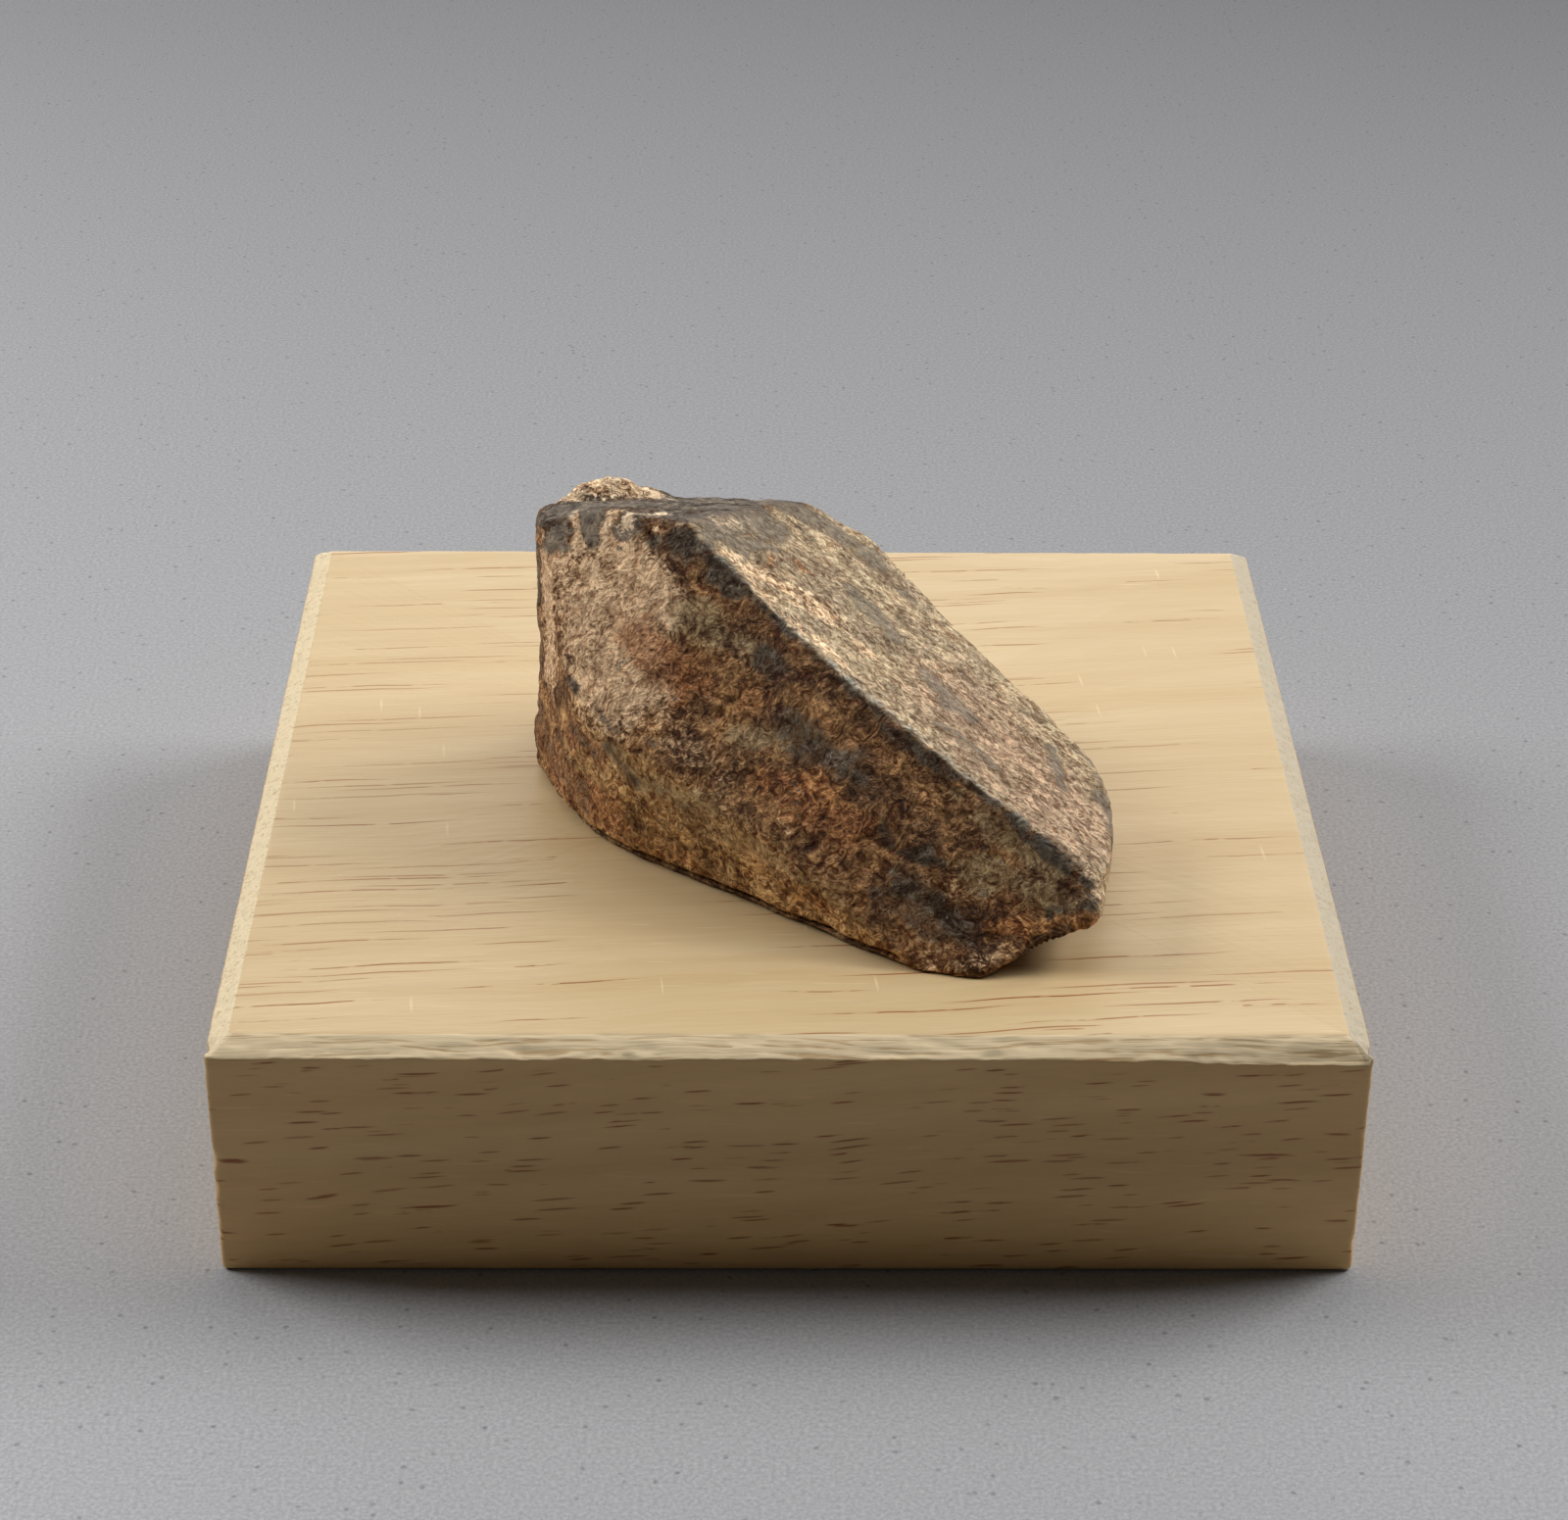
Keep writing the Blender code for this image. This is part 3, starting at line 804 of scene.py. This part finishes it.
    # A dark outline where the skin ends, fainter on the pale side
    crisp = add("MapRange", fields["side"], 0.0, 1.0, 0.6, 0.2)
    outline = add("Math", covers["skin"], 0.4, operation="SUBTRACT")
    outline = add("Math", outline, operation="ABSOLUTE")
    outline = add("MapRange", outline, 0.35, 0.1, 0.0, crisp)
    surface = add("Mix", outline, surface, rgba(colours.dark), data_type="RGBA")

    relief = add("Math", clouds["clumps"], 2.0, fine, operation="MULTIPLY_ADD")
    relief = add("Math", relief, calm, operation="MULTIPLY")
    bump = add("Bump", named={"Height": relief, "Strength": 1.0, "Distance": colours.bump_height})
    gloss = add("MapRange", covers["skin"], 0.0, 1.0, 0.88, 0.58)
    set_inputs(shader, {"Base Color": surface, "Roughness": gloss, "Normal": bump, "IOR": 1.5,
                        "Specular IOR Level": 0.35})
    return material


# How strongly the wood's darker bands draw the vessels in, and what that adds on average.
BAND_PULL = 1.3
BAND_LEVEL = 0.62


def sawn_wood_material(colours):
    """Pale tropical hardwood, planed on top and unfinished: cream with faint lengthwise bands and
    brown vessel lines about 0.2 mm wide, up to 16 mm long on the top, 2 to 4 mm long on the front
    and back, and dots on the end grain. The chamfers are torn along the grain at the front and
    back, and fuzzy and brighter on the end grain."""
    material, add, shader = new_material("planed_pale_hardwood")
    place = add("TexCoord").outputs["Object"]
    cut = add("Attribute", attribute_name="cut").outputs["Fac"]
    end_grain = add("Attribute", attribute_name="end_grain").outputs["Fac"]
    wavy = add("TexNoise", place, per_metre(14.0), 2.0, 0.5)
    shift = add(
        "VectorMath", wavy.outputs["Color"], (0.0, 0.0016, 0.0016), place, operation="MULTIPLY_ADD"
    )
    # The board's grain climbs a few degrees to the right, seen from above and from the front
    leaned = add("Mapping", shift, named={"Rotation": (0.0, math.radians(4.0), math.radians(-5.0))})
    # Clouds drawn out along the grain: the coordinates, what they are multiplied by, the width in
    # millimetres, the detail and the roughness
    bands, fibres, gaps, ridges, fuzz = [
        add(
            "TexNoise", add("VectorMath", vector, drawn_out, operation="MULTIPLY"),
            per_metre(width), detail, rough,
        )
        for vector, drawn_out, width, detail, rough in (
            (leaned, (0.04, 1.0, 1.0), 4.0, 5.0, 0.6), (leaned, (0.03, 1.0, 1.0), 0.35, 3.0, 0.6),
            (leaned, (0.35, 1.0, 1.0), 0.9, 2.0, 0.5), (shift, (0.04, 1.0, 0.8), 0.27, 2.0, 0.6),
            (place, (1.0, 1.0, 1.0), 0.35, 3.0, 0.7),
        )
    ]
    wood = add("ValToRGB", bands, stops=((0.35, colours.wood_dark), (0.65, colours.wood_light)))
    fine = add("MapRange", fibres, 0.3, 0.7, 0.965, 1.025)
    wood = add("VectorMath", wood, fine, operation="SCALE")

    # Vessels: a cell of each pattern holds one line, and some cells are left empty. The top was
    # sawn along the growth rings and shows long lines, cut up by gaps, and the walls across them
    # show short dashes. Each pattern: its cell's size in millimetres, the share of cells that is
    # kept, the line's reach in its cell, whether it is on the walls, and its dimensions.
    wall = add("Attribute", attribute_name="wall").outputs["Fac"]
    whole = add("MapRange", gaps, 0.34, 0.44)
    lines = 0.0
    for cell, kept, reach, on_wall, dimensions in (
        ((50.0, 0.70, 0.70), 0.58, 0.16, 0.0, "2D"), ((20.0, 0.50, 0.50), 0.16, 0.18, 0.0, "2D"),
        ((8.0, 1.0, 0.44), 0.75, 0.24, 1.0, "3D"), ((5.0, 0.8, 0.40), 0.5, 0.24, 1.0, "3D"),
    ):
        cells = add(
            "VectorMath", leaned, [per_metre(width) for width in cell], operation="MULTIPLY"
        )
        spots = add("TexVoronoi", cells, 1.0, voronoi_dimensions=dimensions)
        line = add("MapRange", spots.outputs["Distance"], reach, reach * 0.6)
        pick = add("SeparateColor", spots.outputs["Color"])
        grouped = add("Math", bands, BAND_PULL, pick.outputs["Red"], operation="MULTIPLY_ADD")
        chosen = add("Math", grouped, kept + BAND_LEVEL, operation="LESS_THAN")
        strength = add("MapRange", pick.outputs["Green"], 0.0, 1.0, 0.55, 1.0)
        side = add("Math", wall, on_wall, 0.5, operation="COMPARE")
        for factor in (chosen, strength, side, whole):
            line = add("Math", line, factor, operation="MULTIPLY")
        lines = add("Math", lines, line, operation="MAXIMUM")
    # The front wall's own marks: a knot by the left edge and three long vessels
    ragged = add(
        "VectorMath", gaps.outputs["Color"], (0.0006, 0.0, 0.0004), place, operation="MULTIPLY_ADD"
    )
    for middle, half_sizes, strength in WALL_MARKS:
        away = add("VectorMath", ragged, [length * MM for length in middle], operation="SUBTRACT")
        away = add(
            "VectorMath", away, [per_metre(size) for size in half_sizes], operation="MULTIPLY"
        )
        away = add("VectorMath", away, operation="LENGTH")
        mark = add("MapRange", away.outputs["Value"], 1.0, 0.5, 0.0, strength)
        lines = add("Math", lines, mark, operation="MAXIMUM")
    wood = add("Mix", lines, wood, rgba(colours.vessel), data_type="RGBA")

    # A few short pale scratches across the grain of the planed top
    scratch_place = add(
        "VectorMath", leaned, (per_metre(0.6), per_metre(6.0), per_metre(6.0)),
        operation="MULTIPLY",
    )
    scratches = add("TexVoronoi", scratch_place, 1.0, voronoi_dimensions="2D")
    scratch = add("MapRange", scratches.outputs["Distance"], 0.22, 0.08, 0.0, 0.35)
    pick = add("SeparateColor", scratches.outputs["Color"])
    chosen = add("Math", pick.outputs["Red"], 0.014, operation="LESS_THAN")
    on_top = add("Math", 1.0, wall, operation="SUBTRACT")
    for factor in (chosen, on_top):
        scratch = add("Math", scratch, factor, operation="MULTIPLY")
    wood = add("Mix", scratch, wood, rgba(colours.chamfer), data_type="RGBA")

    # The chamfers: torn wood, in ridges along the grain at the front and fuzzy on the end grain,
    # which is greyer at the right. Their very pale colour is partly painted light on the front
    # chamfer, which faces forward and catches little of the lamps
    tear = add("Mix", end_grain, ridges, fuzz)
    fuzzy = add(
        "ValToRGB", tear,
        stops=((0.31, colours.wood_dark), (0.38, colours.wood_light), (0.44, colours.chamfer)),
    )
    right_end = add("Attribute", attribute_name="right_end").outputs["Fac"]
    along_grain = add("Math", 1.0, end_grain, operation="SUBTRACT")
    for part, tint in ((right_end, (0.56, 0.61, 0.72, 1.0)), (along_grain, (1.0, 0.94, 0.88, 1.0))):
        fuzzy = add("Mix", part, fuzzy, tint, data_type="RGBA", blend_type="MULTIPLY")
    fringe = add("Math", tear, 1.6, cut, operation="MULTIPLY_ADD")
    cover = add("MapRange", fringe, 1.0, 1.7, 0.0, 0.9)
    wood = add("Mix", cover, wood, fuzzy, data_type="RGBA")
    flat_end = add("MapRange", end_grain, 0.0, 1.0, 0.0, 0.25)
    wood = add("Mix", flat_end, wood, rgba(colours.wood_dark), data_type="RGBA")
    # The walls are deeper in colour, and lighter again towards the foot, which is painted light at
    # the foot of the walls
    wood = add("Mix", wall, wood, rgba(colours.wall_tint), data_type="RGBA", blend_type="MULTIPLY")
    height_above = add("SeparateXYZ", place).outputs["Z"]
    painted_light_at_foot = add("MapRange", height_above, 0.009, 0.0, 1.0, 1.35)
    wood = add("VectorMath", wood, painted_light_at_foot, operation="SCALE")
    grain_height = add("Math", fibres, 0.6, operation="MULTIPLY")
    height = add("Mix", cut, grain_height, tear)
    bump = add("Bump", named={"Height": height, "Strength": 0.6, "Distance": 0.00008})
    dull = add("MapRange", cut, 0.0, 1.0, 0.46, 0.65)
    set_inputs(shader, {"Base Color": wood, "Roughness": dull, "Normal": bump, "IOR": 1.5})
    return material


def backdrop_paper_material(colour):
    """Grey photographic backdrop paper: matt, with a faint mottle and fine dark specks 0.3 mm
    wide."""
    material, add, shader = new_material("grey_backdrop_paper")
    place = add("TexCoord").outputs["Object"]
    mottle = add("TexNoise", place, per_metre(0.32), 3.0, 0.7)
    tone = add("MapRange", mottle, 0.3, 0.7, 0.80, 1.20)
    specks = add("TexVoronoi", place, per_metre(1.6))
    dot = add("MapRange", specks.outputs["Distance"], 0.16, 0.07, 0.0, 0.32)
    pick = add("SeparateColor", specks.outputs["Color"])
    chosen = add("Math", pick.outputs["Red"], 0.55, operation="LESS_THAN")
    dot = add("Math", dot, chosen, operation="MULTIPLY")
    bright = add("Math", tone, dot, operation="SUBTRACT")
    # The paper lies in a little more shade towards the back and the right
    shade = add("VectorMath", place, (-0.65, -1.25, 0.0), operation="DOT_PRODUCT")
    shade = add("MapRange", shade.outputs["Value"], -0.5, 0.2, 0.29, 1.43)
    bright = add("Math", bright, shade, operation="MULTIPLY")
    paper = add("VectorMath", tuple(colour), bright, operation="SCALE")
    set_inputs(shader, {"Base Color": paper, "Roughness": 0.9, "Specular IOR Level": 0.2})
    return material


# Settings


def colour_property(name, code, description):
    """A colour in the sidebar, given as an sRGB hex code and kept as linear values."""
    return FloatVectorProperty(
        name=name, description=description, default=linear(code), subtype="COLOR",
        size=3, min=0.0, max=1.0,
    )


def length_property(name, value, description):
    """A length in the sidebar, in metres."""
    return FloatProperty(
        name=name, description=description, default=value, min=0.0, subtype="DISTANCE",
        unit="LENGTH", precision=5,
    )


def power_property(name, value, description):
    """A light's power in the sidebar, in watts."""
    return FloatProperty(
        name=name, description=description, default=value, min=0.0, unit="POWER"
    )


class CrystalSettings(PropertyGroup):
    """The crystal's mesh and colours"""

    around: IntProperty(
        name="Around", description="Points round the crystal", default=400, min=60, max=410
    )
    along: IntProperty(
        name="Along", description="Rows from end to end", default=240, min=40, max=240
    )
    relief: FloatProperty(
        name="Relief", description="Share of the full relief", default=1.0, min=0.0, max=2.0,
        subtype="FACTOR",
    )
    resting_gap: length_property("Resting Gap", 0.00002, "Between the block's top and the crystal")
    front_dark: colour_property("Front, Dark", "#6E5035", "Darker tone of the front faces")
    front_light: colour_property("Front, Light", "#B48A5D", "Lighter tone of the front faces")
    side_dark: colour_property("Side, Dark", "#B4A288", "Darker tone of the pale side")
    side_light: colour_property("Side, Light", "#D3C1A0", "Lighter tone of the pale side")
    top_dark: colour_property("Top, Dark", "#51473E", "Darker tone of the narrow top")
    top_light: colour_property("Top, Light", "#6E5D4D", "Lighter tone of the narrow top")
    foot_dark: colour_property("Foot, Dark", "#9A7C54", "Darker tone of the foot")
    foot_light: colour_property("Foot, Light", "#DCB884", "Lighter tone of the foot")
    back_dark: colour_property("Back, Dark", "#5E4A36", "Darker tone of the hidden faces")
    back_light: colour_property("Back, Light", "#A08262", "Lighter tone of the hidden faces")
    buff: colour_property("Buff", "#C2A68C", "Pinkish buff of the pale side's lower end")
    tan: colour_property("Tan", "#FAD8B0", "Pinkish tan of the left front")
    rust: colour_property("Rust", "#B47C50", "Red-brown stain")
    orange: colour_property("Orange", "#C08A56", "Orange-brown stain")
    olive: colour_property("Olive", "#AB9570", "Greenish grey smooth patches")
    dark: colour_property("Dark", "#5A544B", "Blue-black oxide")
    skin: colour_property("Skin", "#726757", "Grey skin of the unweathered crystal")
    skin_dark: colour_property("Skin, Dark", "#564D41", "Darker mottle of the skin")
    pale: colour_property("Pale", "#F6D9B4", "Cream crust")
    # A painted highlight along the ridge's sharp edge
    rim: colour_property("Rim", "#AEB2AA", "Bluish white line along the ridge")
    # Painted glints: the pale threads between the grains
    glint: colour_property("Light Grain", "#4A3A28", "Lightening of the pale grains")
    bump_height: length_property("Bump Height", 0.00018, "Height of the finest grains")


class BlockSettings(PropertyGroup):
    """The block's sizes and colours"""

    side: length_property("Side", BLOCK_HIGH.x - BLOCK_LOW.x, "Length of the square block's sides")
    height: length_property("Height", BLOCK_HIGH.z - BLOCK_LOW.z, "Thickness of the board")
    chamfer_across: length_property("Chamfer Across", 0.0016, "Width of the chamfer from above")
    chamfer_down: length_property("Chamfer Down", 0.00095, "Height of the chamfer")
    foot_inset: length_property("Foot Inset", 0.0002, "How far the walls lean in at the foot")
    foot_round: length_property("Foot Round", 0.00035, "Radius of the lower edges")
    corner_radius: length_property("Corner Radius", 0.00035, "Radius of the upright edges")
    steps: IntProperty(
        name="Steps", description="Points along each side", default=300, min=20, max=400
    )
    wood_light: colour_property("Wood, Light", "#DEC396", "Lighter bands of the wood")
    wood_dark: colour_property("Wood, Dark", "#D2B484", "Darker bands of the wood")
    wall_tint: colour_property("Wall Tint", "#FFEED2", "Deeper colour of the sawn walls")
    vessel: colour_property("Vessel", "#98581E", "Open vessels in the wood")
    # Partly painted light: pale enough to brighten the front chamfer, which catches little of the
    # lamps
    chamfer: colour_property("Chamfer", "#FFEDC6", "Fuzzy wood of the cut chamfers")


class StageSettings(PropertyGroup):
    """The floor and the lights"""

    floor_side: length_property("Floor Side", 4.0, "Side of the square floor")
    floor_colour: colour_property("Floor Colour", "#A0A0A2", "Backdrop paper")
    left_light: power_property("Left Light", 1.35, "Power of the left light")
    right_light: power_property("Right Light", 2.6, "Power of the right light")
    top_light: power_property("Top Light", 4.0, "Power of the soft light above")
    back_light: power_property(
        "Back Light", 7.0, "Power of the low light behind, which gives the wood its sheen"
    )
    room_light: FloatProperty(
        name="Room Light", description="Strength of the even light all round", default=0.03,
        min=0.0,
    )


# The stage


# The lights: each one's setting, its compass direction and lean from the block, its distance and
# its width and height in metres.
LIGHTS = (
    ("left_light", 163.0, 38.0, 0.50, (0.24, 0.20)),
    ("right_light", 21.0, 38.0, 0.64, (0.34, 0.22)),
    ("top_light", 90.0, 72.0, 1.2, (1.2, 0.6)),
    ("back_light", 80.0, 24.0, 1.2, (2.4, 0.55)),
)


def make_floor(stage):
    """One square of backdrop paper at height 0, its middle under the block's."""
    half = stage.floor_side / 2
    mesh = bpy.data.meshes.new("floor")
    corners = [(-half, -half, 0.0), (half, -half, 0.0), (half, half, 0.0), (-half, half, 0.0)]
    mesh.from_pydata(corners, [], [(0, 1, 2, 3)])
    mesh.materials.append(backdrop_paper_material(stage.floor_colour))
    floor = bpy.data.objects.new("floor", mesh)
    bpy.context.scene.collection.objects.link(floor)


def make_light(name, compass, lean, distance, size, power):
    """A rectangular light at distance * direction from the block's foot, which faces that foot."""
    light = bpy.data.lights.new(name, "AREA")
    light.shape = "RECTANGLE"
    light.size, light.size_y = size
    light.energy = power
    obj = bpy.data.objects.new(name, light)
    way = Vector(facing(compass, lean))
    obj.location = way * distance
    obj.rotation_euler = way.to_track_quat("Z", "Y").to_euler()
    bpy.context.scene.collection.objects.link(obj)


def make_camera():
    """The camera looks along the photograph's line of sight: turned from +Y towards +X, tilted
    down, then rolled."""
    turn, tilt, roll = (math.radians(a) for a in (CAMERA_TURN, CAMERA_TILT, CAMERA_ROLL))
    ahead = Vector((math.sin(turn), math.cos(turn), 0.0))
    right = Vector((math.cos(turn), -math.sin(turn), 0.0))
    up = Vector((0.0, 0.0, 1.0))
    sight = math.cos(tilt) * ahead - math.sin(tilt) * up
    above = math.sin(tilt) * ahead + math.cos(tilt) * up
    across = math.cos(roll) * right + math.sin(roll) * above
    above = -math.sin(roll) * right + math.cos(roll) * above
    data = bpy.data.cameras.new("camera")
    data.sensor_width = SENSOR_WIDTH
    data.lens = FOCAL_PIXELS / IMAGE_WIDTH * SENSOR_WIDTH
    data.clip_start = 0.01
    camera = bpy.data.objects.new("camera", data)
    axes = Matrix((across, above, -sight)).transposed().to_4x4()
    camera.matrix_world = Matrix.Translation(Vector(CAMERA_PLACE) * MM) @ axes
    bpy.context.scene.collection.objects.link(camera)
    bpy.context.scene.camera = camera


def make_room(strength):
    """An even, slightly warm light from all round."""
    world = bpy.data.worlds.new("room")
    world.use_nodes = True
    background = world.node_tree.nodes["Background"]
    background.inputs["Color"].default_value = rgba((1.0, 0.98, 0.95))
    background.inputs["Strength"].default_value = strength
    bpy.context.scene.world = world


# Operators and panel


class SPECIMEN_OT_crystal(Operator):
    """Build the weathered crystal in place of its CAD solid"""

    bl_idname = "specimen.crystal"
    bl_label = "Crystal"
    bl_options = {"REGISTER", "UNDO"}

    def execute(self, context):
        settings = context.scene.specimen_crystal
        material = weathered_crystal_material(settings)
        add_piece(crystal_mesh(settings), material, "crystal")
        return {"FINISHED"}


class SPECIMEN_OT_block(Operator):
    """Build the wooden block in place of its CAD solid"""

    bl_idname = "specimen.block"
    bl_label = "Wooden Block"
    bl_options = {"REGISTER", "UNDO"}

    def execute(self, context):
        settings = context.scene.specimen_block
        material = sawn_wood_material(settings)
        add_piece(block_mesh(settings), material, "display_block")
        return {"FINISHED"}


class SPECIMEN_OT_stage(Operator):
    """Set up the floor, the lights and the camera"""

    bl_idname = "specimen.stage"
    bl_label = "Stage"
    bl_options = {"REGISTER", "UNDO"}

    def execute(self, context):
        stage = context.scene.specimen_stage
        make_floor(stage)
        for name, compass, lean, distance, size in LIGHTS:
            make_light(name, compass, lean, distance, size, getattr(stage, name))
        make_room(stage.room_light)
        make_camera()
        context.scene.view_settings.view_transform = "Standard"
        return {"FINISHED"}


class SPECIMEN_PT_panel(Panel):
    """Lists each operator with its settings"""

    bl_label = "Specimen"
    bl_idname = "SPECIMEN_PT_panel"
    bl_space_type = "VIEW_3D"
    bl_region_type = "UI"
    bl_category = "Specimen"

    def draw(self, context):
        scene = context.scene
        for operator, settings in (
            (SPECIMEN_OT_crystal, scene.specimen_crystal),
            (SPECIMEN_OT_block, scene.specimen_block),
            (SPECIMEN_OT_stage, scene.specimen_stage),
        ):
            box = self.layout.box()
            box.operator(operator.bl_idname)
            for name in settings.__annotations__:
                box.prop(settings, name)


CLASSES = (
    CrystalSettings, BlockSettings, StageSettings,
    SPECIMEN_OT_crystal, SPECIMEN_OT_block, SPECIMEN_OT_stage, SPECIMEN_PT_panel,
)


def register():
    """Registers the classes and hangs the three groups of settings on the scene."""
    for cls in CLASSES:
        bpy.utils.register_class(cls)
    bpy.types.Scene.specimen_crystal = PointerProperty(type=CrystalSettings)
    bpy.types.Scene.specimen_block = PointerProperty(type=BlockSettings)
    bpy.types.Scene.specimen_stage = PointerProperty(type=StageSettings)


def unregister():
    """Takes away what register added, in the other order."""
    for name in ("specimen_crystal", "specimen_block", "specimen_stage"):
        delattr(bpy.types.Scene, name)
    for cls in reversed(CLASSES):
        bpy.utils.unregister_class(cls)


def main():
    """Builds every piece and the stage."""
    register()
    bpy.ops.specimen.block()
    bpy.ops.specimen.crystal()
    bpy.ops.specimen.stage()


if __name__ == "__main__":
    main()
